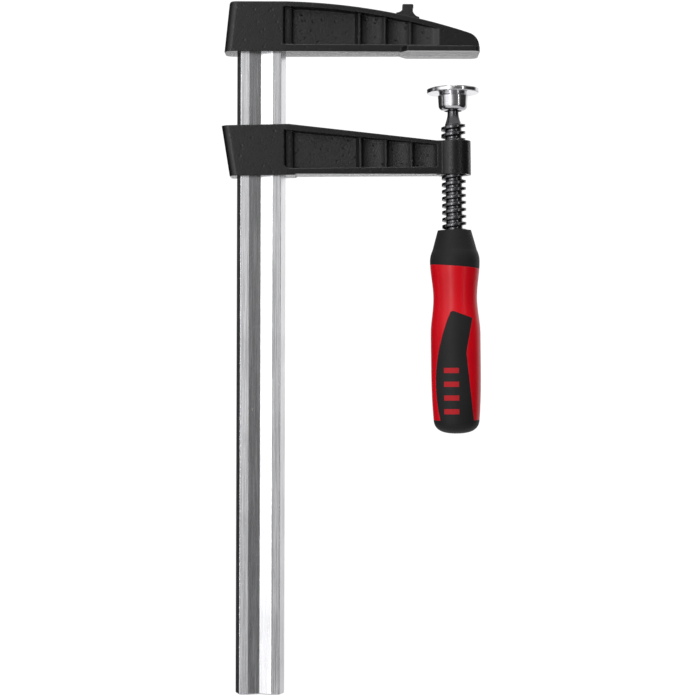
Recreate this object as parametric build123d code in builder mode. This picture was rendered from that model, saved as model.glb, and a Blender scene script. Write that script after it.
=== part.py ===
from build123d import *
from math import cos, radians, sin, sqrt, tan
import os

# Screw F-clamp: a fixed jaw pressed on a profiled rail, an arm that slides on the rail, and a
# trapezoidal spindle through the arm with a tilting pressure plate and a two-component handle.
# Millimetres. The origin is the middle of the fixed jaw's clamping face, where the spindle axis
# meets it. +X points from the rail to the jaw tips, +Z up along the rail, +Y through the clamp.

# ---- driving dimensions ---------------------------------------------------------------------
throat = 95.5                 # rail edge to spindle axis, at the clamping face
toe_in = 0.885                # degrees that the arm and its spindle lean from the square

# rail
rail_width = 27.9             # widest, across the bevelled narrow sides
rail_thickness = 12.7
rail_bevel = 2.45             # width of each bevel, seen on the broad side
rail_edge_flat = 1.6          # blunt strip along the middle of each narrow side
rail_length = 395.4
rail_end_chamfer = 0.5
rail_recess = 0.4             # rail end below the top of the fixed jaw
groove_width = 13.1
groove_depth = 1.8

# fixed jaw casting
jaw_height = 28.5             # clamping face to the top of the box round the rail
jaw_end_wall = 7.1            # box wall behind the rail, at the clamping face
jaw_end_lean = 3.0            # the rear end leans forward by this much towards its top
jaw_box_front = 1.1           # the box's flat top runs this far past the rail
jaw_tip = 15.1                # spindle axis to the tip of the jaw
jaw_tip_height = 11.3         # height of the jaw's back just before the rounded tip
jaw_back_bulge = 3.9          # how far the jaw's curved back stands above a straight line
box_wall = 3.15               # casting on each broad side of the rail
jaw_web_end_width = 15.0      # the same at the jaw's tip
corner_radius = 4.5           # upright corners at the rear of both castings
rear_top_radius = 1.7         # and of the top edge at the rear
pad_length = 43.3
pad_width = 27.0
pad_thickness = 2.9
pad_corner_radius = 4.5
pad_relief = 0.25             # the jaw's flange stands this far above the pad's face
pad_shoulder = 2.0            # half the run of the pad's slanted shoulders
jaw_flange_top = 2.7
jaw_flange_bottom = 4.2
jaw_toe_fall = 6.0            # the jaw's rounded tip starts this far before its end
jaw_toe_draft = 0.2
jaw_pocket_end = 3.5          # spindle axis to the end of the jaw's pocket
nose_length = 6.3             # small hooked nose on the jaw's back
nose_width = 8.0
nose_from_axis = 22.6
nose_top = 28.25
nose_head = 2.2
nose_head_radius = 0.7
nose_undercut = 0.5
nose_flare = 3.4              # how far the nose's foot spreads on each side
nose_bow = 0.2                # middle of each flare, as shares of that spread: across,
nose_rise_left = 0.25         # up on the rail side
nose_rise_right = 0.45        # and up on the other side
nose_foot_left = 23.5         # clamping face to the foot's edge on the rail side
nose_foot_right = 20.9        # and on the other side
nose_root = 1.8               # depth of the foot under the jaw's back

# sliding arm casting
arm_box_height = 29.5         # height of the box round the rail
arm_end_wall = 9.2
arm_end_lean = 4.3
arm_box_front = 1.5
arm_top_drop = 0.3            # the box's top falls this far towards the rear
arm_box_lift = 0.5            # the box's underside above the lower end of the boss
arm_flange_lift = 1.1         # the lower flange above it, where it leaves the box
arm_flange_end_lift = 0.25    # and where it meets the boss
arm_step_at = 4.5             # front of the rail to the step in the underside
arm_step_run = 0.6
boss_height = 19.3
boss_wall = 2.9               # round the thread
boss_middle = 59.5            # clamping face to the middle of the boss, along the spindle
arm_web_end_width = 14.0
arm_flange_top = 3.0
arm_flange_bottom = 4.2
arm_pocket_end = 1.4          # the arm's pocket runs this far into the boss's width
arm_pocket_radius = 3.5       # lower corner of the arm's pocket at the rail
slot_clearance = 0.35         # rail to slot, each side

# pockets in both castings
pocket_start = 1.3            # behind the front of the rail
pocket_wall_run = 8.0         # length of the stepped wall at the rail end of a pocket
pocket_step_run = 1.3         # length of each steep part of that wall
pocket_ledge = 0.42           # depth of the wall's ledge, as a share of the pocket's depth
pocket_web = 6.4              # web thickness between the two pocket floors
pocket_draft = 5.0            # degrees
pocket_ledge_fall = 0.25      # the ledge sinks by this along its run
pocket_corner = 1.5
wall_overlap = 0.3            # a pocket's cutting block runs this far past its end wall
rib_count = 3
rib_width = 1.0
rib_first_share = 0.441       # front of the rail to the first rib, as a share of the throat
rib_pitch_share = 0.1524      # spacing of the ribs, as a share of the throat
rib_crest = 12.0              # thickness of the casting across two opposite ribs
rib_ramp = 2.4
scoop_deepest = 0.36          # place of a scoop's deepest line, as a share of the rib pitch

# spindle, trapezoidal thread
thread_diameter = 14.0
thread_pitch = 4.0
thread_depth = 2.25
thread_flank = 15.0           # degrees, half the thread angle
nut_root_clearance = 0.25     # radial, at the crests and roots of the thread
nut_flank_clearance = 0.16    # axial, on each flank
thread_start = 40.7           # clamping face to the first thread
ridge_overlap = 0.1           # the thread's ridge starts this far inside the core
thread_lead_in = 2.0          # length of the chamfer at the start of the thread
thread_turns_in_nut = 9       # turns of the nut thread, more than the boss is high
boss_sink = 0.4               # the boss's countersinks are wider than the thread by this
neck_run_out = 6.8            # length of the flare from the neck to the thread's root
neck_diameter = 6.4
neck_end = 33.4               # clamping face to the start of the neck's flare
ball_diameter = 9.7
shank_step = 0.05             # shank below the root of the thread, radially
shank_flats = 7.6
shank_length = 78.0
shank_run_out = 0.5
shank_chamfer = 1.0
flats_run_out = 2.0           # the flats stop this far below the thread
thread_in_handle = 3.4        # the thread runs on this far inside the handle

# pressure plate and its retaining ring
plate_diameter = 30.0
plate_face = 19.7             # clamping face to the plate's face, along the spindle
plate_rim = 2.5               # thickness of the plate's disc
plate_edge = 0.4              # chamfers of the disc
plate_dish_edge = 2.4         # outer edge of the disc to the edge of its recess
cup_diameter = 17.4
cup_height = 12.6             # plate face to the cup's lower end
cup_corner = 3.2
cup_taper = 0.3               # the cup narrows by this towards its lower end
plate_undercut = 0.8
plate_dish = 0.25             # shallow recess in the plate's face
socket_floor = 3.0            # plate face to the top of the ball
ball_clearance = 0.06
mouth_clearance = 0.2         # the ball passes the cup's mouth
ring_wire = 1.2
ring_share = 0.897            # inner diameter of the ring, as a share of the ball's
ring_gap = 1.6                # the ring is split
ring_clearance = 0.05         # ring to ball
plate_tilt = 8.0              # degrees either way
tilt_clearance = 0.15         # left round the ring when the plate is fully tilted

# handle
handle_top = 100.8            # clamping face to the handle's upper end
handle_length = 116.7
handle_lip = 2.6              # round the thread, at the handle's upper end
collar_radius = 12.7          # where the straight cone of the collar ends
collar_at = 11.2
shoulder_radius = 14.25
shoulder_at = 17.8            # from the handle's upper end
waist_radius = 12.55
waist_at = 38.7
belly_radius = 14.3
belly_at = 60.0
belly_end = 76.0
tail_radius = 13.2
tail_at = 109.1
soft_skin = 2.0               # thickness of the soft component
collar_edge_left = 19.6       # collar's lower edge on the rail side, from the upper end
collar_edge_right = 22.2
cap_at = 108.8
inlay_top = 46.0              # top of each inlay, from the handle's upper end
inlay_slope = 4.5             # drop of the inlay's slanted top edge
inlay_left = 3.0              # handle axis to the inlay's upper left corner
inlay_right = 9.05            # and to its upper right corner
inlay_left_bulge = 11.4
inlay_left_bulge_at = 77.0
inlay_right_waist = 5.2
inlay_right_waist_at = 70.0
inlay_waist_radius = 16.0
inlay_foot_left = 9.3
inlay_foot_right = 9.5
inlay_corner = 1.8
entry_clearance = 0.4         # thread to the hole in the top of the handle

# ---- derived planes and places --------------------------------------------------------------
rail_x = -(throat + rail_width / 2)
rail_front = rail_x + rail_width / 2
rail_back = rail_x - rail_width / 2
rail_top = jaw_height - rail_recess
lean = radians(toe_in)
along_spindle = (-sin(lean), 0, cos(lean))
across_spindle = (cos(lean), 0, sin(lean))
spindle_base = Plane(origin=(0, 0, 0), x_dir=across_spindle, z_dir=along_spindle)
spindle_side = Plane(origin=(0, 0, 0), x_dir=across_spindle, z_dir=(0, -1, 0))
spindle_axis = Axis((0, 0, 0), along_spindle)
far = 2 * rail_length         # longer than anything, for cutting tools
diagonal = sqrt(0.5)

rail_face_width = rail_width - 2 * rail_bevel
box_width = rail_thickness + 2 * box_wall
rib_first = throat * rib_first_share
rib_pitch = throat * rib_pitch_share
thread_radius = thread_diameter / 2
root_radius = thread_radius - thread_depth
boss_diameter = thread_diameter + 2 * boss_wall
shank_radius = root_radius - shank_step
handle_top_radius = thread_radius + handle_lip
ball_radius = ball_diameter / 2
neck_radius = neck_diameter / 2
ball_centre = -(plate_face + socket_floor + ball_radius)
plate_end = -(plate_face + cup_height)
ring_radius = (ball_diameter * ring_share + ring_wire) / 2
ring_drop = sqrt((ball_radius + ring_wire / 2 + ring_clearance) ** 2 - ring_radius**2)
handle_end = -(handle_top + handle_length)


# ---- shapes used more than once -------------------------------------------------------------
def rail_outline(grow, grooved):
    """Section of the rail, grown outwards on every side by a clearance."""
    half_face = rail_face_width / 2
    half_thick = rail_thickness / 2
    with BuildSketch(Plane.XY) as section:
        with BuildLine():
            Polyline(
                (rail_x - half_face, half_thick),
                (rail_x + half_face, half_thick),
                (rail_x + rail_width / 2, rail_edge_flat / 2),
                (rail_x + rail_width / 2, -rail_edge_flat / 2),
                (rail_x + half_face, -half_thick),
                (rail_x - half_face, -half_thick),
                (rail_x - rail_width / 2, -rail_edge_flat / 2),
                (rail_x - rail_width / 2, rail_edge_flat / 2),
                close=True,
            )
        make_face()
        if grow:
            offset(amount=grow, kind=Kind.INTERSECTION)
        if grooved:
            for side in (1, -1):
                with BuildLine():
                    Polyline(
                        (rail_x - groove_width / 2, side * half_thick),
                        (rail_x, side * (half_thick - groove_depth)),
                        (rail_x + groove_width / 2, side * half_thick),
                        close=True,
                    )
                make_face(mode=Mode.SUBTRACT)
    return section.sketch


def casting_plan(back, end_width, tip):
    """Outline of a casting from above: parallel round the rail, then tapering to its tip."""
    with BuildSketch(Plane.XY) as plan:
        with BuildLine():
            Polyline(
                (back, -box_width / 2),
                (rail_front, -box_width / 2),
                (tip, -end_width / 2),
                (tip, end_width / 2),
                (rail_front, box_width / 2),
                (back, box_width / 2),
                close=True,
            )
        make_face()
    return plan.sketch


def rear_block(back, level, height, shift):
    """Block with rounded upright rear corners, whose rear end leans by a shift over its height."""
    with BuildPart() as block:
        with BuildSketch(Plane.XY.offset(level)) as plan:
            with Locations((back + far / 2, 0)):
                Rectangle(far, box_width)
            fillet(plan.vertices().group_by(Axis.X)[0], corner_radius)
        extrude(amount=sqrt(height**2 + shift**2), dir=(shift, 0, height))
    return block.part


def pocket_floor(last, fade):
    """Plan of one pocket: stepped end wall, flat floor, then scoops between upright ribs."""
    face = -box_width / 2
    floor = -pocket_web / 2
    crest = -rib_crest / 2
    ledge = face + (floor - face) * pocket_ledge
    mouth = -box_width
    start = rail_front - pocket_start
    wall_end = start + pocket_wall_run
    first_rib = rail_front + rib_first
    rib_half = rib_width / 2
    with BuildSketch(Plane.XY) as plan:
        with BuildLine():
            Line((start, mouth), (start, face))
            Spline(
                (start, face),
                (start + pocket_step_run, ledge),
                (start + pocket_wall_run / 2, ledge + pocket_ledge_fall),
                (start + pocket_wall_run / 2 + pocket_step_run, (ledge + 2 * floor) / 3),
                (wall_end, floor),
                tangents=[(0.3, 1), (1, 0)],
            )
            Line((wall_end, floor), (first_rib - rib_half - rib_ramp, floor))
            Line((first_rib - rib_half - rib_ramp, floor), (first_rib - rib_half, crest))
            for number in range(rib_count):
                rib = first_rib + number * rib_pitch
                following = min(rib + rib_pitch, last + rib_half)
                deepest = (rib + scoop_deepest * rib_pitch, floor)
                Line((rib - rib_half, crest), (rib + rib_half, crest))
                if number < rib_count - 1 or not fade:
                    Spline((rib + rib_half, crest), deepest, tangents=[(0.25, 1), (1, 0)])
                    Spline(deepest, (following - rib_half, crest), tangents=[(1, 0), (0.9, -1)])
            if fade:
                Spline(
                    (rib + rib_half, crest),
                    (rib + rib_pitch / 3, (floor + crest) / 2),
                    (last, face),
                    tangents=[(0.5, 1), (1, -0.3)],
                )
            else:
                Line((following - rib_half, crest), (last, face))
            Line((last, face), (last, mouth))
            Line((last, mouth), (start, mouth))
        make_face()
    return plan.sketch


def thread_ridge(bottom, turns, crest, flank_gap):
    """Helical trapezoid from inside the root out to a crest radius, about the spindle axis."""
    pitch_radius = thread_radius - thread_pitch / 4
    inner = root_radius - ridge_overlap
    half_at_pitch = thread_pitch / 4 + flank_gap
    half_inner = half_at_pitch + (pitch_radius - inner) * tan(radians(thread_flank))
    half_crest = half_at_pitch - (crest - pitch_radius) * tan(radians(thread_flank))
    base = spindle_base.offset(bottom)
    with BuildPart() as ridge:
        with BuildLine():
            path = Helix(thread_pitch, turns * thread_pitch, pitch_radius, base.origin, along_spindle)
        with BuildSketch(Plane(origin=path @ 0, x_dir=(path @ 0) - base.origin, z_dir=path % 0)):
            with BuildLine():
                Polyline(
                    (inner - pitch_radius, -half_inner),
                    (crest - pitch_radius, -half_crest),
                    (crest - pitch_radius, half_crest),
                    (inner - pitch_radius, half_inner),
                    close=True,
                )
            make_face()
        sweep(is_frenet=True)
    return ridge.part


def handle_profile(inset):
    """Half section of the handle, drawn inwards from its outer surface by an inset."""
    top = -handle_top
    down = (0, -1)
    with BuildSketch(Plane.XY) as half:
        with BuildLine():
            mouth = (handle_top_radius - inset, top - inset)
            neck = (collar_radius - inset, top - collar_at)
            shoulder = (shoulder_radius - inset, top - shoulder_at)
            waist = (waist_radius - inset, top - waist_at)
            belly = (belly_radius - inset, top - belly_at)
            belly_foot = (belly_radius - inset, top - belly_end)
            tail = (tail_radius - inset, top - tail_at)
            foot = (0, handle_end + inset)
            Line(mouth, neck)
            Spline(neck, shoulder, tangents=[(0.45, -1), down])
            Spline(shoulder, waist, tangents=[down, down])
            Spline(waist, belly, tangents=[down, down])
            Line(belly, belly_foot)
            Spline(belly_foot, tail, tangents=[down, (-0.09, -1)])
            Spline(tail, foot, tangents=[(-0.09, -1), (-1.6, 0)])
            Line(foot, (0, top - inset))
            Line((0, top - inset), mouth)
        make_face()
    return half.sketch


def inlay_outline(side):
    """Outline of one inlay, seen square on; the far one is turned half way round the handle."""
    top = -handle_top
    with BuildSketch(Plane.XY) as outline:
        with BuildLine():
            upper_left = (-side * inlay_left, top - inlay_top)
            upper_right = (side * inlay_right, top - inlay_top - inlay_slope)
            foot_left = (-side * inlay_foot_left, top - cap_at - soft_skin)
            foot_right = (side * inlay_foot_right, top - cap_at - soft_skin)
            Line(upper_left, upper_right)
            flank = FilletPolyline(
                upper_right,
                (side * inlay_right_waist, top - inlay_right_waist_at),
                foot_right,
                radius=inlay_waist_radius,
            )
            Line(flank @ 1, foot_left)
            Spline(foot_left, (-side * inlay_left_bulge, top - inlay_left_bulge_at), upper_left)
        make_face()
        fillet(outline.vertices().sort_by(Axis.Y)[-1], inlay_corner)
    return outline.sketch


# ---- rail -----------------------------------------------------------------------------------
with BuildPart() as rail:
    with BuildSketch(Plane.XY.offset(rail_top - rail_length)):
        add(rail_outline(0, True))
    extrude(amount=rail_length)
    chamfer(rail.faces().sort_by(Axis.Z)[0].edges(), rail_end_chamfer)
    chamfer(rail.faces().sort_by(Axis.Z)[-1].edges(), rail_end_chamfer)

# ---- fixed jaw ------------------------------------------------------------------------------
jaw_back = rail_back - jaw_end_wall
back_start = rail_front + jaw_box_front
back_end = jaw_tip - jaw_toe_fall
back_middle = (back_start + back_end) / 2
back_rise = (jaw_height + jaw_tip_height) / 2 + jaw_back_bulge
pocket_rear = rail_front - pocket_start - wall_overlap
nose_right = -nose_from_axis
nose_left = nose_right - nose_length

with BuildPart() as jaw_pocket:
    with BuildSketch(Plane.XZ.offset(box_width / 2)) as pocket_side:
        with BuildLine():
            Line((pocket_rear, jaw_height - jaw_flange_top), (pocket_rear, jaw_flange_bottom))
            Line((pocket_rear, jaw_flange_bottom), (0, jaw_flange_bottom))
            Line((0, jaw_flange_bottom), (0, jaw_tip_height))
            ThreePointArc(
                (0, jaw_tip_height),
                (back_middle, back_rise - jaw_flange_top),
                (pocket_rear, jaw_height - jaw_flange_top),
            )
        make_face()
        fillet(pocket_side.vertices().group_by(Axis.X)[0], pocket_corner)
    extrude(amount=-box_width / 2, taper=pocket_draft)
    with BuildSketch(Plane.XY):
        add(pocket_floor(-jaw_pocket_end, True))
    extrude(amount=2 * jaw_height, mode=Mode.INTERSECT)
    mirror(about=Plane.XZ)

with BuildPart() as fixed_jaw:
    with BuildSketch(Plane.XZ) as jaw_side:
        with BuildLine():
            Line((back_start, jaw_height), (jaw_back + jaw_end_lean, jaw_height))
            Line((jaw_back + jaw_end_lean, jaw_height), (jaw_back, pad_relief))
            Line((jaw_back, pad_relief), (jaw_tip, pad_relief))
            tip_line = Line((jaw_tip, pad_relief), (jaw_tip - jaw_toe_draft, pad_thickness))
            back_line = ThreePointArc(
                (back_start, jaw_height), (back_middle, back_rise), (back_end, jaw_tip_height)
            )
            TangentArc(back_line @ 1, tip_line @ 1, tangent=back_line % 1)
        make_face()
        fillet(jaw_side.vertices().group_by(Axis.Y)[-1].sort_by(Axis.X)[0], rear_top_radius)
    extrude(amount=box_width / 2, both=True)
    with BuildSketch(Plane.XY):
        add(casting_plan(jaw_back, jaw_web_end_width, jaw_tip))
    extrude(amount=2 * jaw_height, mode=Mode.INTERSECT)
    add(rear_block(jaw_back, 0, jaw_height, jaw_end_lean), mode=Mode.INTERSECT)
    add(jaw_pocket.part, mode=Mode.SUBTRACT)
    # clamping pad
    with BuildSketch(Plane.XY) as pad:
        with BuildLine():
            Polyline(
                (jaw_tip - pad_length - pad_shoulder, -jaw_web_end_width / 2),
                (jaw_tip - pad_length + pad_shoulder, -pad_width / 2),
                (jaw_tip, -pad_width / 2),
                (jaw_tip, pad_width / 2),
                (jaw_tip - pad_length + pad_shoulder, pad_width / 2),
                (jaw_tip - pad_length - pad_shoulder, jaw_web_end_width / 2),
                close=True,
            )
        make_face()
        fillet(pad.vertices().group_by(Axis.X)[-1], pad_corner_radius)
    extrude(amount=pad_thickness)
    # hooked nose on the back
    with BuildSketch(Plane.XZ) as nose:
        with BuildLine():
            Polyline(
                (nose_right - nose_undercut, nose_top - nose_head),
                (nose_right, nose_top - nose_head),
                (nose_right, nose_top),
                (nose_left, nose_top),
                (nose_left, nose_top - nose_head),
                (nose_left + nose_undercut, nose_top - nose_head),
            )
            ThreePointArc(
                (nose_left + nose_undercut, nose_top - nose_head),
                (nose_left - nose_flare * nose_bow, nose_foot_left + nose_flare * nose_rise_left),
                (nose_left - nose_flare, nose_foot_left),
            )
            Polyline(
                (nose_left - nose_flare, nose_foot_left),
                (nose_left - nose_flare, nose_foot_left - nose_root),
                (nose_right + nose_flare, nose_foot_right - nose_root),
                (nose_right + nose_flare, nose_foot_right),
            )
            ThreePointArc(
                (nose_right + nose_flare, nose_foot_right),
                (nose_right + nose_flare * nose_bow, nose_foot_right + nose_flare * nose_rise_right),
                (nose_right - nose_undercut, nose_top - nose_head),
            )
        make_face()
        fillet(nose.vertices().group_by(Axis.Y)[-1], nose_head_radius)
    extrude(amount=nose_width / 2, both=True)
    # seat of the rail, right through
    with BuildSketch(Plane.XY):
        add(rail_outline(0, True))
    extrude(amount=2 * jaw_height, mode=Mode.SUBTRACT)

# ---- sliding arm ----------------------------------------------------------------------------
arm_low = -boss_middle - boss_height / 2
arm_high = arm_low + arm_box_height
boss_high = arm_low + boss_height
arm_back = rail_back - arm_end_wall
taper_start = rail_front + arm_box_front
sink_radius = thread_radius + nut_root_clearance + boss_sink

with BuildPart() as arm_pocket:
    with BuildSketch(spindle_side.offset(box_width / 2)) as arm_pocket_side:
        with BuildLine():
            Polyline(
                (pocket_rear, arm_high - arm_flange_top),
                (pocket_rear, arm_low + arm_flange_bottom),
                (0, arm_low + arm_flange_bottom),
                (0, boss_high - arm_flange_top),
                close=True,
            )
        make_face()
        fillet(arm_pocket_side.vertices().sort_by(Axis.X)[:2].sort_by(Axis.Z)[0], arm_pocket_radius)
    extrude(amount=-box_width / 2, taper=pocket_draft)
    with BuildSketch(spindle_base.offset(arm_low)):
        add(pocket_floor(-boss_diameter / 2 + arm_pocket_end, False))
    extrude(amount=arm_box_height, mode=Mode.INTERSECT)
    mirror(about=Plane.XZ)

with BuildPart() as sliding_arm:
    with BuildSketch(spindle_side):
        with BuildLine():
            Polyline(
                (taper_start, arm_high),
                (arm_back, arm_high - arm_top_drop),
                (arm_back + arm_end_lean, arm_low + arm_box_lift),
                (rail_front + arm_step_at, arm_low + arm_box_lift),
                (rail_front + arm_step_at + arm_step_run, arm_low + arm_flange_lift),
                (-boss_diameter / 2, arm_low + arm_flange_end_lift),
                (0, arm_low + arm_flange_end_lift),
                (0, boss_high),
                (-boss_diameter / 2, boss_high),
                close=True,
            )
        make_face()
    extrude(amount=box_width / 2, both=True)
    with BuildSketch(spindle_base.offset(arm_low)):
        add(casting_plan(arm_back, arm_web_end_width, 0))
    extrude(amount=arm_box_height, mode=Mode.INTERSECT)
    add(
        spindle_base * rear_block(arm_back + arm_end_lean, arm_low, arm_box_height, -arm_end_lean),
        mode=Mode.INTERSECT,
    )
    add(arm_pocket.part, mode=Mode.SUBTRACT)
    with BuildSketch(spindle_base.offset(arm_low)):
        Circle(boss_diameter / 2)
    extrude(amount=boss_height)
    with BuildSketch(Plane.XY.offset(arm_high + far / 4)):
        add(rail_outline(slot_clearance, False))
    extrude(amount=-far, mode=Mode.SUBTRACT)
    # threaded bore
    with BuildSketch(spindle_base.offset(arm_low)):
        Circle(root_radius + nut_root_clearance)
    extrude(amount=boss_height, mode=Mode.SUBTRACT)
    for level, way in ((arm_low, 1), (boss_high, -1)):
        with BuildSketch(spindle_side):
            with BuildLine():
                Polyline((0, level), (sink_radius, level), (0, level + way * sink_radius), close=True)
            make_face()
        revolve(axis=spindle_axis, mode=Mode.SUBTRACT)
    add(
        thread_ridge(
            -thread_start - thread_pitch * thread_turns_in_nut,
            thread_turns_in_nut,
            thread_radius + nut_root_clearance,
            nut_flank_clearance,
        ),
        mode=Mode.SUBTRACT,
    )

# ---- spindle --------------------------------------------------------------------------------
thread_end = -(handle_top + thread_in_handle)
thread_turns = round((-thread_start - thread_end) / thread_pitch)
ball_foot = ball_centre - sqrt(ball_radius**2 - neck_radius**2)

with BuildPart() as spindle:
    with BuildSketch(spindle_side):
        with BuildLine():
            Line((neck_radius, ball_foot), (neck_radius, -neck_end))
            Spline(
                (neck_radius, -neck_end),
                (root_radius, -neck_end - neck_run_out),
                tangents=[(0, -1), (0.3, -1)],
            )
            Polyline(
                (root_radius, -neck_end - neck_run_out),
                (root_radius, thread_end),
                (shank_radius, thread_end - shank_run_out),
                (shank_radius, thread_end - shank_length + shank_chamfer),
                (shank_radius - shank_chamfer, thread_end - shank_length),
                (0, thread_end - shank_length),
                (0, ball_centre + ball_radius),
            )
            ThreePointArc(
                (0, ball_centre + ball_radius),
                (ball_radius, ball_centre),
                (neck_radius, ball_foot),
            )
        make_face()
    revolve(axis=spindle_axis)
    add(thread_ridge(-thread_start - thread_pitch * thread_turns, thread_turns, thread_radius, 0))
    # chamfer where the thread starts
    with BuildSketch(spindle_side):
        with BuildLine():
            Polyline(
                (root_radius, -thread_start + thread_pitch / 2),
                (root_radius, -thread_start),
                (thread_radius + ridge_overlap, -thread_start - thread_lead_in),
                (thread_radius + ridge_overlap, -thread_start + thread_pitch / 2),
                close=True,
            )
        make_face()
    revolve(axis=spindle_axis, mode=Mode.SUBTRACT)
    # two flats that key the shank to the handle
    with BuildSketch(spindle_base.offset(thread_end - shank_length)):
        with GridLocations(0, shank_flats + thread_diameter, 1, 2):
            Rectangle(thread_diameter, thread_diameter)
    extrude(amount=shank_length - flats_run_out, mode=Mode.SUBTRACT)

# ---- retaining ring -------------------------------------------------------------------------
ring_level = ball_centre - ring_drop

with BuildPart() as retaining_ring:
    with BuildSketch(spindle_side):
        with Locations((ring_radius, ring_level)):
            Circle(ring_wire / 2)
    revolve(axis=spindle_axis)
    with BuildSketch(spindle_base.offset(ring_level - ring_wire)):
        with Locations((ring_radius, 0)):
            Rectangle(3 * ring_wire, ring_gap)
    extrude(amount=2 * ring_wire, mode=Mode.SUBTRACT)

# ---- pressure plate -------------------------------------------------------------------------
face = -plate_face
plate_radius = plate_diameter / 2
cup_radius = cup_diameter / 2
cup_foot = cup_radius - cup_taper
socket_radius = ball_radius + ball_clearance
mouth_radius = ball_radius + mouth_clearance
ring_outer = ring_radius + ring_wire / 2
ring_swing = ring_outer * sin(radians(plate_tilt)) + tilt_clearance
groove_top = ring_level + ring_wire / 2 + ring_swing
groove_low = ring_level - ring_wire / 2 - ring_swing
groove_radius = ring_outer + (ring_drop + ring_wire) * sin(radians(plate_tilt)) + tilt_clearance

with BuildPart() as pressure_plate:
    with BuildSketch(spindle_side):
        with BuildLine():
            Polyline(
                (0, ball_centre + socket_radius),
                (0, face - plate_dish),
                (plate_radius - plate_dish_edge, face - plate_dish),
                (plate_radius - plate_dish_edge + plate_edge, face),
                (plate_radius - plate_edge, face),
                (plate_radius, face - plate_edge),
                (plate_radius, face - plate_rim + plate_edge),
                (plate_radius - plate_edge, face - plate_rim),
                (cup_radius - plate_undercut, face - plate_rim),
                (cup_radius - plate_undercut, face - plate_rim - plate_undercut),
                (cup_radius, face - plate_rim - 2 * plate_undercut),
                (cup_foot, plate_end + cup_corner),
            )
            ThreePointArc(
                (cup_foot, plate_end + cup_corner),
                (cup_foot - cup_corner * (1 - diagonal), plate_end + cup_corner * (1 - diagonal)),
                (cup_foot - cup_corner, plate_end),
            )
            Polyline(
                (cup_foot - cup_corner, plate_end),
                (mouth_radius, plate_end),
                (mouth_radius, groove_low),
                (groove_radius, groove_low),
                (groove_radius, groove_top),
                (socket_radius, groove_top),
                (socket_radius, ball_centre),
            )
            ThreePointArc(
                (socket_radius, ball_centre),
                (socket_radius * diagonal, ball_centre + socket_radius * diagonal),
                (0, ball_centre + socket_radius),
            )
        make_face()
    revolve(axis=spindle_axis)

# ---- handle ---------------------------------------------------------------------------------
top = -handle_top
collar_plane = Plane(
    origin=spindle_base.from_local_coords((0, 0, top - (collar_edge_left + collar_edge_right) / 2)),
    x_dir=(0, 1, 0),
    z_dir=spindle_base.from_local_coords(
        (collar_edge_right - collar_edge_left, 0, 2 * shoulder_radius)
    ),
)
entry_radius = thread_radius + entry_clearance
entry_end = thread_end - thread_pitch / 2

with BuildPart() as handle_collar:
    with BuildSketch(spindle_side):
        add(handle_profile(0))
    revolve(axis=spindle_axis)
    with BuildSketch(spindle_side):
        add(handle_profile(soft_skin))
    revolve(axis=spindle_axis, mode=Mode.SUBTRACT)
    split(bisect_by=collar_plane, keep=Keep.TOP)
    with BuildSketch(spindle_base.offset(top)):
        Circle(entry_radius)
    extrude(amount=-2 * soft_skin, mode=Mode.SUBTRACT)

with BuildPart() as soft_zone:
    for side in (1, -1):
        with BuildSketch(spindle_side):
            add(inlay_outline(side))
        extrude(amount=side * 2 * belly_radius)
    with BuildSketch(spindle_base.offset(top - cap_at)):
        Circle(2 * belly_radius)
    extrude(amount=-handle_length)

with BuildPart() as handle_grip:
    with BuildSketch(spindle_side):
        add(handle_profile(0))
    revolve(axis=spindle_axis)
    with BuildSketch(spindle_side):
        add(handle_profile(soft_skin))
    revolve(axis=spindle_axis, mode=Mode.SUBTRACT)
    add(soft_zone.part, mode=Mode.INTERSECT)

with BuildPart() as handle_core:
    with BuildSketch(spindle_side):
        add(handle_profile(0))
    revolve(axis=spindle_axis)
    add(handle_collar.part, mode=Mode.SUBTRACT)
    add(handle_grip.part, mode=Mode.SUBTRACT)
    with BuildSketch(spindle_base.offset(top)):
        Circle(entry_radius)
    extrude(amount=entry_end - top, mode=Mode.SUBTRACT)
    add(spindle.part, mode=Mode.SUBTRACT)

# ---- output ---------------------------------------------------------------------------------
os.makedirs("parts", exist_ok=True)
for piece, name in (
    (rail, "rail"),
    (fixed_jaw, "fixed_jaw"),
    (sliding_arm, "sliding_arm"),
    (spindle, "spindle"),
    (retaining_ring, "retaining_ring"),
    (pressure_plate, "pressure_plate"),
    (handle_core, "handle_core"),
    (handle_collar, "handle_collar"),
    (handle_grip, "handle_grip"),
):
    piece.part.label = name
    export_step(piece.part, f"parts/{name}.step")
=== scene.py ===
import math
import bmesh
import bpy
from mathutils import Matrix, Vector


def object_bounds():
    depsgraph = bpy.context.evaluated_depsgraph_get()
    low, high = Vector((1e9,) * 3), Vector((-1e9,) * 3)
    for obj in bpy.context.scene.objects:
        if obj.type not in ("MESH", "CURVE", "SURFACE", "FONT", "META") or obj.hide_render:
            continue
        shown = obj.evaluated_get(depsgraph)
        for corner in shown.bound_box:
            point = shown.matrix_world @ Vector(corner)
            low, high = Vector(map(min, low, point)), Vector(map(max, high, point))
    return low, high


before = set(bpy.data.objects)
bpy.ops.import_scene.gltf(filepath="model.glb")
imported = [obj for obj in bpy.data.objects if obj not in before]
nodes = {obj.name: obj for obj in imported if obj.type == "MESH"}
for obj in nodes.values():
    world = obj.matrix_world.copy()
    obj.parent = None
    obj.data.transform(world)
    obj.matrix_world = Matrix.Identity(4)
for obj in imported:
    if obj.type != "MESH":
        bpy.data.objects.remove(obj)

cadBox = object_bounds()
scene = bpy.context.scene
noiseMiddle = (0.3, 0.7)      # most of a noise pattern lies between these

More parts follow.
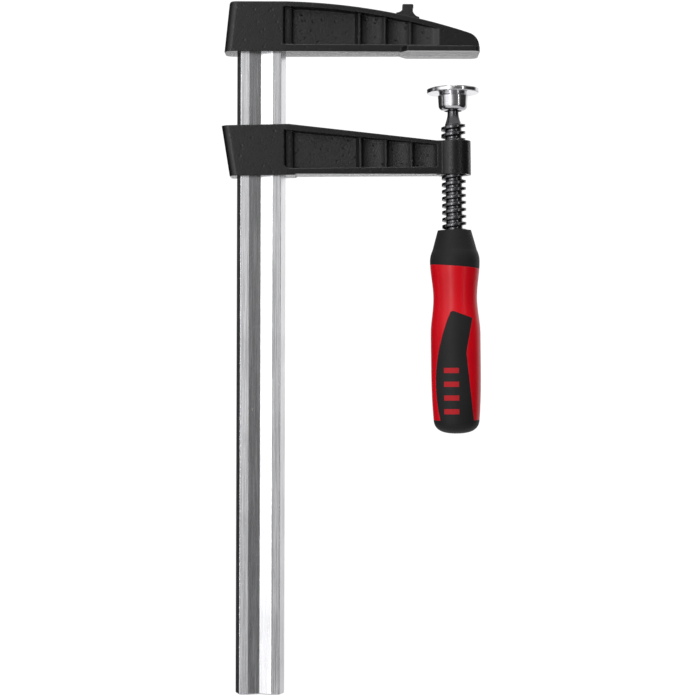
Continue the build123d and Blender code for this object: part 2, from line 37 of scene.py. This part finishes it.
studio = {
    "distance": 0.908,        # camera in front of the clamp
    "across": -0.0522,        # camera's place along X
    "height": -0.1635,
    "lens": 81.19,
    "clip": (0.05, 50),
    "tilt": -0.391,           # degrees up from the level
    "pan": 0.378,             # degrees to the left
    "roll": 0.195,
    "floorDrop": 0.42,        # floor below the lowest point of the clamp
    "floorReach": 0.9,        # half the side of the floor
    "floorWhite": 0.72,
    "floorBlue": 1.03,        # the blue share of each pale grey
    "floorRough": 0.8,
    "floorGloss": 0.2,
    "backdrop": 1.05,
    # brightness of the room round the clamp, by the angle to the left of the camera
    "cards": [
        (-180, 1.3), (-150, 0.9), (-123, 0.9), (-112, 0.03), (-62, 0.03), (-50, 0.15),
        (-14, 0.13), (-3, 0.2), (5, 0.4), (17, 1.25), (58, 1.25), (80, 0.1),
        (125, 0.02), (155, 0.04), (166, 0.9), (180, 1.3),
    ],
    "cardBlue": 1.01,
    "ceiling": 0.7,
    "ceilingRise": (0.3, 0.6),      # the ceiling starts and is full here; 1 is straight up
    "fade": (0.68, 1.15),           # the cards are dimmer low down than high up
    "fadeRise": (-0.28, 0.12),
    "aim": (-0.03, 0, -0.13),       # point that all the lamps look at
    "lamps": {
        "keySoftbox": {"location": (-0.62, -1.3, -0.1), "size": (0.12, 1.3), "power": 3.2},
        "rimSoftbox": {"location": (0.75, -0.85, 0.0), "size": (0.06, 0.9), "power": 0.7},
        "topSoftbox": {"location": (-0.1, -0.35, 1.0), "size": (0.5, 0.3), "power": 3},
    },
}


def makeCamera():
    data = bpy.data.cameras.new("camera")
    data.lens = studio["lens"]
    data.clip_start, data.clip_end = studio["clip"]
    camera = bpy.data.objects.new("camera", data)
    scene.collection.objects.link(camera)
    camera.location = (studio["across"], -studio["distance"], studio["height"])
    pan = Matrix.Rotation(math.radians(studio["pan"]), 4, "Z")
    tilt = Matrix.Rotation(math.radians(90 + studio["tilt"]), 4, "X")
    roll = Matrix.Rotation(math.radians(studio["roll"]), 4, "Z")
    camera.rotation_euler = (pan @ tilt @ roll).to_euler()
    scene.camera = camera


# small helpers that put shader nodes in a tree and join them up
def feed(tree, node, socket, value):
    target = node.inputs[socket]
    if isinstance(value, bpy.types.NodeSocket):
        tree.links.new(value, target)
    else:
        target.default_value = value


def place(tree, kind, inputs=None, **settings):
    node = tree.nodes.new(kind)
    for name, value in settings.items():
        setattr(node, name, value)
    for socket, value in (inputs or {}).items():
        feed(tree, node, socket, value)
    return node


def calc(tree, operation, first, second=0.0, third=0.0, clamp=False):
    inputs = {0: first, 1: second, 2: third}
    return place(tree, "ShaderNodeMath", inputs, operation=operation, use_clamp=clamp).outputs[0]


def blendColour(tree, mask, first, second, way="MIX"):
    inputs = {0: mask, 6: first, 7: second}
    node = place(tree, "ShaderNodeMix", inputs, data_type="RGBA", blend_type=way)
    return node.outputs[2]


def rescale(tree, value, low, high, toLow=0.0, toHigh=1.0):
    inputs = {"Value": value, 1: low, 2: high, 3: toLow, 4: toHigh}
    return place(tree, "ShaderNodeMapRange", inputs, clamp=True).outputs[0]


def noise(tree, where, scale, detail, rough):
    inputs = {"Vector": where, "Scale": scale, "Detail": detail, "Roughness": rough}
    return place(tree, "ShaderNodeTexNoise", inputs).outputs["Fac"]


def coordinates(tree, turn=(0, 0, 0), stretch=(1, 1, 1)):
    source = place(tree, "ShaderNodeTexCoord").outputs["Object"]
    inputs = {"Vector": source, "Rotation": turn, "Scale": stretch}
    return place(tree, "ShaderNodeMapping", inputs).outputs[0]


def grey(value, blue=1.0):
    return (value, value, value * blue, 1)


def makeGroup(name, inputs, outputs):
    group = bpy.data.node_groups.new(name, "ShaderNodeTree")
    for title, value in inputs:
        socket = group.interface.new_socket(title, in_out="INPUT", socket_type="NodeSocketFloat")
        socket.default_value = value
    for title, kind in outputs:
        group.interface.new_socket(title, in_out="OUTPUT", socket_type=kind)
    return group, place(group, "NodeGroupInput"), place(group, "NodeGroupOutput")


def makeFloor():
    bm = bmesh.new()
    bmesh.ops.create_grid(bm, x_segments=2, y_segments=2, size=studio["floorReach"])
    bmesh.ops.translate(bm, verts=bm.verts, vec=(0, 0, cadBox[0].z - studio["floorDrop"]))
    mesh = bpy.data.meshes.new("floor")
    bm.to_mesh(mesh)
    bm.free()
    floor = bpy.data.objects.new("floor", mesh)
    scene.collection.objects.link(floor)
    material = bpy.data.materials.new("paleFloor")
    material.use_nodes = True
    tree = material.node_tree
    shader = tree.nodes["Principled BSDF"]
    feed(tree, shader, "Base Color", grey(studio["floorWhite"], studio["floorBlue"]))
    feed(tree, shader, "Roughness", studio["floorRough"])
    feed(tree, shader, "Specular IOR Level", studio["floorGloss"])
    # seen directly the floor is the same white paper as the backdrop
    seen = place(tree, "ShaderNodeLightPath").outputs["Is Camera Ray"]
    paper = place(tree, "ShaderNodeEmission", {"Strength": studio["backdrop"]})
    mixed = place(tree, "ShaderNodeMixShader", {0: seen, 1: shader.outputs[0], 2: paper.outputs[0]})
    feed(tree, tree.nodes["Material Output"], "Surface", mixed.outputs[0])
    mesh.materials.append(material)


def areaLight(name, location, size, power):
    data = bpy.data.lights.new(name, "AREA")
    data.shape = "RECTANGLE"
    data.size, data.size_y = size
    data.energy = power
    lamp = bpy.data.objects.new(name, data)
    scene.collection.objects.link(lamp)
    lamp.location = location
    lamp.rotation_euler = (Vector(studio["aim"]) - Vector(location)).to_track_quat("-Z", "Y").to_euler()


def makeWorld():
    # white and dark cards stand round the clamp; the camera itself sees plain white paper
    world = bpy.data.worlds.new("studio")
    world.use_nodes = True
    scene.world = world
    tree = world.node_tree
    direction = place(tree, "ShaderNodeTexCoord").outputs["Generated"]
    parts = place(tree, "ShaderNodeSeparateXYZ", {0: direction}).outputs
    left = calc(tree, "MULTIPLY", parts["X"], -1.0)
    front = calc(tree, "MULTIPLY", parts["Y"], -1.0)
    angle = calc(tree, "ARCTAN2", left, front)
    ramp = place(tree, "ShaderNodeValToRGB", {0: rescale(tree, angle, -math.pi, math.pi)})
    stops = ramp.color_ramp.elements
    for number, (degrees, bright) in enumerate(studio["cards"]):
        stop = stops[number] if number < 2 else stops.new(1)
        stop.position = (degrees + 180) / 360
        stop.color = grey(bright, studio["cardBlue"])
    ceiling = rescale(tree, parts["Z"], *studio["ceilingRise"])
    dim = rescale(tree, parts["Z"], *studio["fadeRise"], *studio["fade"])
    faded = blendColour(tree, 1.0, ramp.outputs["Color"], dim, "MULTIPLY")
    cards = blendColour(tree, ceiling, faded, grey(studio["ceiling"]))
    seen = place(tree, "ShaderNodeLightPath").outputs["Is Camera Ray"]
    shown = blendColour(tree, seen, cards, grey(studio["backdrop"]))
    feed(tree, tree.nodes["Background"], "Color", shown)


def makeLight():
    makeWorld()
    scene.view_settings.view_transform = "Standard"
    for name, lamp in studio["lamps"].items():
        areaLight(name, **lamp)


makeCamera()
makeFloor()
makeLight()
print("camera, floor and light made")


patterns = {
    "edgeRays": 6,                # samples of the rounded normals
    "fine": (5.0, 0.65),          # detail and roughness of each noise
    "broad": (3.0, 0.5),
    "line": (2.0, 0.5),
    "streak": (5.0, 0.75),
    "pitSlope": (0.08, 0.24),     # from the bottom of a pit to its rim
    "lineStretch": 0.012,
    "streakStretch": 0.05,
    "streakTurn": 24,             # degrees off the piece's length
    "scratchFrom": (0.66, 0.72),
}


def makeEdgeGroup():
    # rounded normals at the edges, and a mask of where the edges are
    group, given, result = makeGroup(
        "softEdges",
        [("Radius", 0.0006), ("Spread", 0.08)],
        [("Normal", "NodeSocketVector"), ("Edge", "NodeSocketFloat")],
    )
    radius = {"Radius": given.outputs["Radius"]}
    rounded = place(group, "ShaderNodeBevel", radius, samples=patterns["edgeRays"]).outputs[0]
    straight = place(group, "ShaderNodeNewGeometry").outputs["Normal"]
    dot = place(group, "ShaderNodeVectorMath", {0: rounded, 1: straight}, operation="DOT_PRODUCT")
    turned = calc(group, "SUBTRACT", 1.0, dot.outputs["Value"])
    share = calc(group, "DIVIDE", turned, given.outputs["Spread"], clamp=True)
    feed(group, result, "Normal", rounded)
    feed(group, result, "Edge", share)
    return group


def makeGrainGroup():
    # fine grain, broad cloudiness and scattered pits, in the piece's own space
    group, given, result = makeGroup(
        "castGrain",
        [("Grain", 1100.0), ("Cloud", 60.0), ("Pits", 260.0)],
        [("Fine", "NodeSocketFloat"), ("Broad", "NodeSocketFloat"), ("Pit", "NodeSocketFloat")],
    )
    where = coordinates(group)
    feed(group, result, "Fine", noise(group, where, given.outputs["Grain"], *patterns["fine"]))
    feed(group, result, "Broad", noise(group, where, given.outputs["Cloud"], *patterns["broad"]))
    cells = place(group, "ShaderNodeTexVoronoi", {"Vector": where, "Scale": given.outputs["Pits"]})
    pit = rescale(group, cells.outputs["Distance"], *patterns["pitSlope"], 1.0, 0.0)
    feed(group, result, "Pit", pit)
    return group


def makeDrawnGroup():
    # fine lines drawn along the piece, and long scratches a little off its length
    group, given, result = makeGroup(
        "drawnLines",
        [("Lines", 2600.0), ("Scratches", 240.0)],
        [("Line", "NodeSocketFloat"), ("Scratch", "NodeSocketFloat")],
    )
    along = coordinates(group, stretch=(1, 1, patterns["lineStretch"]))
    feed(group, result, "Line", noise(group, along, given.outputs["Lines"], *patterns["line"]))
    turn = (0, math.radians(patterns["streakTurn"]), 0)
    tilted = coordinates(group, turn, (1, 1, patterns["streakStretch"]))
    streak = noise(group, tilted, given.outputs["Scratches"], *patterns["streak"])
    feed(group, result, "Scratch", rescale(group, streak, *patterns["scratchFrom"]))
    return group


softEdges, castGrain, drawnLines = makeEdgeGroup(), makeGrainGroup(), makeDrawnGroup()


def useGroup(tree, group, **values):
    node = place(tree, "ShaderNodeGroup", node_tree=group)
    for name, value in values.items():
        feed(tree, node, name, value)
    return node.outputs


def newMaterial(name, **plain):
    material = bpy.data.materials.new(name)
    material.use_nodes = True
    tree = material.node_tree
    shader = tree.nodes["Principled BSDF"]
    for socket, value in plain.items():
        shader.inputs[socket.replace("_", " ")].default_value = value
    return material, tree, shader


# a material with the two patterns that nearly every finish here is made from
def startFinish(name, finish, **plain):
    material, tree, shader = newMaterial(name, **plain)
    edges = useGroup(tree, softEdges, Radius=finish["edge"], Spread=finish["spread"])
    grain = useGroup(tree, castGrain, **finish["grain"])
    return material, tree, shader, edges, grain


def roughen(tree, shader, pattern, limits):
    feed(tree, shader, "Roughness", rescale(tree, pattern, *noiseMiddle, *limits))


def raiseSurface(tree, shader, height, depth, normal):
    inputs = {"Height": height, "Distance": depth, "Strength": 1.0, "Normal": normal}
    feed(tree, shader, "Normal", place(tree, "ShaderNodeBump", inputs).outputs[0])


casting = {
    "black": 0.0045,
    "blackBlue": 1.05,
    # lighter colour at the edges: partly bare metal where paint is chipped, partly a painted highlight
    # along the edges
    "worn": 0.05,
    "gloss": 0.46,
    "edge": 0.0010,               # radius of the soft edges
    "spread": 0.12,               # how far the worn paint reaches from them
    "grain": {"Grain": 1100.0, "Cloud": 60.0, "Pits": 260.0},
    "cloud": (0.35, 0.65, 0.8, 1.25),
    "chip": (0.5, 0.62),          # grain from which the paint is chipped at the edges, with a highlight painted along them
    "rough": (0.26, 0.42),
    "groundFrom": (-0.9, -0.97),  # faces that point this much downwards are ground
    "groundChange": -0.2,
    "skin": 0.00016,
    "pit": 0.9,
    "pocketDepth": (0.0061, 0.0068),
    "smooth": 0.45,               # strength of the skin outside the pockets and in them
    "coarse": 2.1,
}


def makeCasting():
    material, tree, shader, edges, grain = startFinish(
        "blackCasting", casting, Specular_IOR_Level=casting["gloss"]
    )
    cloud = rescale(tree, grain["Broad"], *casting["cloud"])
    black = blendColour(tree, 1.0, grey(casting["black"], casting["blackBlue"]), cloud, "MULTIPLY")
    # edge mask times grain: chipped paint and a painted edge highlight in one lighter colour
    chippedAndLitEdges = calc(tree, "MULTIPLY", edges["Edge"], rescale(tree, grain["Fine"], *casting["chip"]))
    feed(tree, shader, "Base Color", blendColour(tree, chippedAndLitEdges, black, grey(casting["worn"])))
    # the ground faces underneath are smoother than the cast skin
    normal = place(tree, "ShaderNodeNewGeometry").outputs["Normal"]
    facing = place(tree, "ShaderNodeSeparateXYZ", {0: normal})
    ground = rescale(tree, facing.outputs["Z"], *casting["groundFrom"])
    rough = rescale(tree, grain["Fine"], *noiseMiddle, *casting["rough"])
    rough = calc(tree, "MULTIPLY_ADD", ground, casting["groundChange"], rough)
    feed(tree, shader, "Roughness", rough)
    pits = calc(tree, "MULTIPLY", grain["Pit"], -casting["pit"])
    skin = calc(tree, "ADD", calc(tree, "ADD", grain["Fine"], pits), grain["Broad"])
    # the skin is coarser down in the pockets than on the outer faces
    through = place(tree, "ShaderNodeSeparateXYZ", {0: coordinates(tree)}).outputs["Y"]
    depth = calc(tree, "ABSOLUTE", through)
    strength = rescale(tree, depth, *casting["pocketDepth"], casting["coarse"], casting["smooth"])
    height = calc(tree, "MULTIPLY", skin, strength)
    raiseSurface(tree, shader, height, casting["skin"], edges["Normal"])
    return material


railFinish = {
    "steel": 0.84,
    "steelBlue": 1.02,
    "scratched": 0.42,
    "edge": 0.0005,
    "spread": 0.15,
    "grain": {"Grain": 420.0, "Cloud": 35.0, "Pits": 150.0},
    "drawn": {"Lines": 2600.0, "Scratches": 240.0},
    "patch": (0.92, 1.06),        # cloudiness of the plating
    "speckFrom": (0.66, 0.72),
    "markStrength": 0.55,
    "markRough": 0.15,
    "markHeight": -2.0,           # depth of a scratch, as drawn lines
    "rough": (0.16, 0.34),
    "line": 0.000004,
}


def makeRailSteel():
    material, tree, shader, edges, grain = startFinish("railSteel", railFinish, Metallic=1.0)
    drawn = useGroup(tree, drawnLines, **railFinish["drawn"])
    patch = rescale(tree, grain["Broad"], *noiseMiddle, *railFinish["patch"])
    bright = grey(railFinish["steel"], railFinish["steelBlue"])
    steel = blendColour(tree, 1.0, bright, patch, "MULTIPLY")
    speck = rescale(tree, grain["Fine"], *railFinish["speckFrom"])
    marks = calc(tree, "MAXIMUM", drawn["Scratch"], speck)
    faint = calc(tree, "MULTIPLY", marks, railFinish["markStrength"])
    colour = blendColour(tree, faint, steel, grey(railFinish["scratched"]))
    feed(tree, shader, "Base Color", colour)
    rough = rescale(tree, drawn["Line"], *noiseMiddle, *railFinish["rough"])
    rough = calc(tree, "MULTIPLY_ADD", marks, railFinish["markRough"], rough)
    feed(tree, shader, "Roughness", rough)
    height = calc(tree, "MULTIPLY_ADD", marks, railFinish["markHeight"], drawn["Line"])
    raiseSurface(tree, shader, height, railFinish["line"], edges["Normal"])
    return material


screwFinish = {
    "black": 0.13,
    "blackBlue": 1.06,
    "worn": 0.36,
    "edge": 0.00055,
    "spread": 0.3,
    "grain": {"Grain": 700.0, "Cloud": 90.0, "Pits": 420.0},
    "rubFrom": (0.4, 0.65),       # cloudiness from which the crests are rubbed bright
    "rough": (0.14, 0.26),
    "skin": 0.000004,
}


def makeScrewSteel():
    material, tree, shader, edges, grain = startFinish("blackOxide", screwFinish, Metallic=1.0)
    rubbed = rescale(tree, grain["Broad"], *screwFinish["rubFrom"])
    rubbed = calc(tree, "MULTIPLY", edges["Edge"], rubbed)
    dark = grey(screwFinish["black"], screwFinish["blackBlue"])
    feed(tree, shader, "Base Color", blendColour(tree, rubbed, dark, grey(screwFinish["worn"])))
    roughen(tree, shader, grain["Fine"], screwFinish["rough"])
    raiseSurface(tree, shader, grain["Fine"], screwFinish["skin"], edges["Normal"])
    return material


plateFinish = {
    "chrome": 0.74,
    "chromeBlue": 1.02,
    "dull": 0.62,
    "dullBlue": 1.03,
    "dullFrom": (0.4, 0.7),
    "edge": 0.0004,
    "spread": 0.2,
    "grain": {"Grain": 300.0, "Cloud": 120.0, "Pits": 300.0},
    "rough": (0.1, 0.2),
    "ring": 5200.0,               # turning marks, in radians per metre
    "turned": 0.000006,
}


def makePlateChrome():
    material, tree, shader, edges, grain = startFinish("brightPlate", plateFinish, Metallic=1.0)
    # the turning marks run round the plate's axis, so they only depend on the height along it
    height = place(tree, "ShaderNodeSeparateXYZ", {0: coordinates(tree)}).outputs["Z"]
    rings = calc(tree, "SINE", calc(tree, "MULTIPLY", height, plateFinish["ring"]))
    dulled = rescale(tree, grain["Broad"], *plateFinish["dullFrom"])
    chrome = grey(plateFinish["chrome"], plateFinish["chromeBlue"])
    dull = grey(plateFinish["dull"], plateFinish["dullBlue"])
    feed(tree, shader, "Base Color", blendColour(tree, dulled, chrome, dull))
    roughen(tree, shader, grain["Fine"], plateFinish["rough"])
    raiseSurface(tree, shader, rings, plateFinish["turned"], edges["Normal"])
    return material


redFinish = {
    "red": (0.79, 0.0011, 0.011, 1),
    "deep": (0.65, 0.001, 0.009, 1),
    "cloud": (0.35, 0.65),
    "gloss": 0.32,
    "edge": 0.0004,
    "spread": 0.2,
    "grain": {"Grain": 1500.0, "Cloud": 25.0, "Pits": 300.0},
    "rough": (0.26, 0.38),
    "skin": 0.00001,
}


def makeRedPlastic():
    material, tree, shader, edges, grain = startFinish(
        "redPlastic", redFinish, Specular_IOR_Level=redFinish["gloss"]
    )
    cloud = rescale(tree, grain["Broad"], *redFinish["cloud"])
    feed(tree, shader, "Base Color", blendColour(tree, cloud, redFinish["red"], redFinish["deep"]))
    roughen(tree, shader, grain["Fine"], redFinish["rough"])
    raiseSurface(tree, shader, grain["Fine"], redFinish["skin"], edges["Normal"])
    return material


softFinish = {
    "black": 0.008,
    "dusty": 0.011,
    "dustFrom": (0.4, 0.7),
    "gloss": 0.3,
    "sheen": 0.03,
    "edge": 0.0004,
    "spread": 0.2,
    "grain": {"Grain": 1900.0, "Cloud": 45.0, "Pits": 600.0},
    "rough": (0.5, 0.68),
    "skin": 0.00003,
    "markRed": (0.5, 0.004, 0.01, 1),
    "markTop": -0.1795,           # along the spindle, from the clamping face
    "markPitch": 0.0078,
    "markRows": 4,
    "markShare": 0.38,            # share of each row that is painted
    "markHalf": 0.0042,
    "markOffset": 0.0034,         # towards the inlay's bulged side
    "markDepth": 0.008,           # the bars are only on the broad sides
    "lean": 0.885,                # degrees that the handle leans
}


def markMask(tree):
    # plain bars down the middle of each inlay
    turn = (0, math.radians(softFinish["lean"]), 0)
    parts = place(tree, "ShaderNodeSeparateXYZ", {0: coordinates(tree, turn)}).outputs
    side = calc(tree, "SIGN", parts["Y"])
    mirrored = calc(tree, "MULTIPLY", side, -1.0)
    shifted = calc(tree, "MULTIPLY_ADD", parts["X"], mirrored, softFinish["markOffset"])
    inside = calc(tree, "LESS_THAN", calc(tree, "ABSOLUTE", shifted), softFinish["markHalf"])
    below = calc(tree, "SUBTRACT", softFinish["markTop"], parts["Z"])
    rows = calc(tree, "DIVIDE", below, softFinish["markPitch"])
    painted = calc(tree, "LESS_THAN", calc(tree, "FRACT", rows), softFinish["markShare"])
    begun = calc(tree, "GREATER_THAN", rows, 0.0)
    ended = calc(tree, "LESS_THAN", rows, float(softFinish["markRows"]))
    deep = calc(tree, "ABSOLUTE", parts["Y"])
    outward = calc(tree, "GREATER_THAN", deep, softFinish["markDepth"])
    mask = inside
    for limit in (painted, begun, ended, outward):
        mask = calc(tree, "MULTIPLY", mask, limit)
    return mask


def makeSoftBlack(name, marked):
    material, tree, shader, edges, grain = startFinish(
        name, softFinish, Specular_IOR_Level=softFinish["gloss"], Sheen_Weight=softFinish["sheen"]
    )
    dust = rescale(tree, grain["Broad"], *softFinish["dustFrom"])
    colour = blendColour(tree, dust, grey(softFinish["black"]), grey(softFinish["dusty"]))
    if marked:
        colour = blendColour(tree, markMask(tree), colour, softFinish["markRed"])
    feed(tree, shader, "Base Color", colour)
    roughen(tree, shader, grain["Fine"], softFinish["rough"])
    raiseSurface(tree, shader, grain["Fine"], softFinish["skin"], edges["Normal"])
    return material


springFinish = {
    "dark": 0.38,
    "bright": 0.5,
    "brightBlue": 1.02,
    "grain": {"Grain": 2000.0, "Cloud": 200.0, "Pits": 900.0},
    "rough": (0.25, 0.4),
}


def makeSpringSteel():
    material, tree, shader = newMaterial("springSteel", Metallic=1.0)
    grain = useGroup(tree, castGrain, **springFinish["grain"])
    bright = grey(springFinish["bright"], springFinish["brightBlue"])
    colour = blendColour(tree, grain["Broad"], grey(springFinish["dark"]), bright)
    feed(tree, shader, "Base Color", colour)
    roughen(tree, shader, grain["Fine"], springFinish["rough"])
    return material


def dress(material, *names):
    for name in names:
        slots = nodes[name].data.materials
        slots.clear()
        slots.append(material)


dress(makeCasting(), "fixed_jaw", "sliding_arm")
dress(makeRailSteel(), "rail")
dress(makeScrewSteel(), "spindle")
dress(makePlateChrome(), "pressure_plate")
dress(makeSpringSteel(), "retaining_ring")
dress(makeRedPlastic(), "handle_core")
dress(makeSoftBlack("softBlackCollar", False), "handle_collar")
dress(makeSoftBlack("softBlackGrip", True), "handle_grip")
print("finishes made")
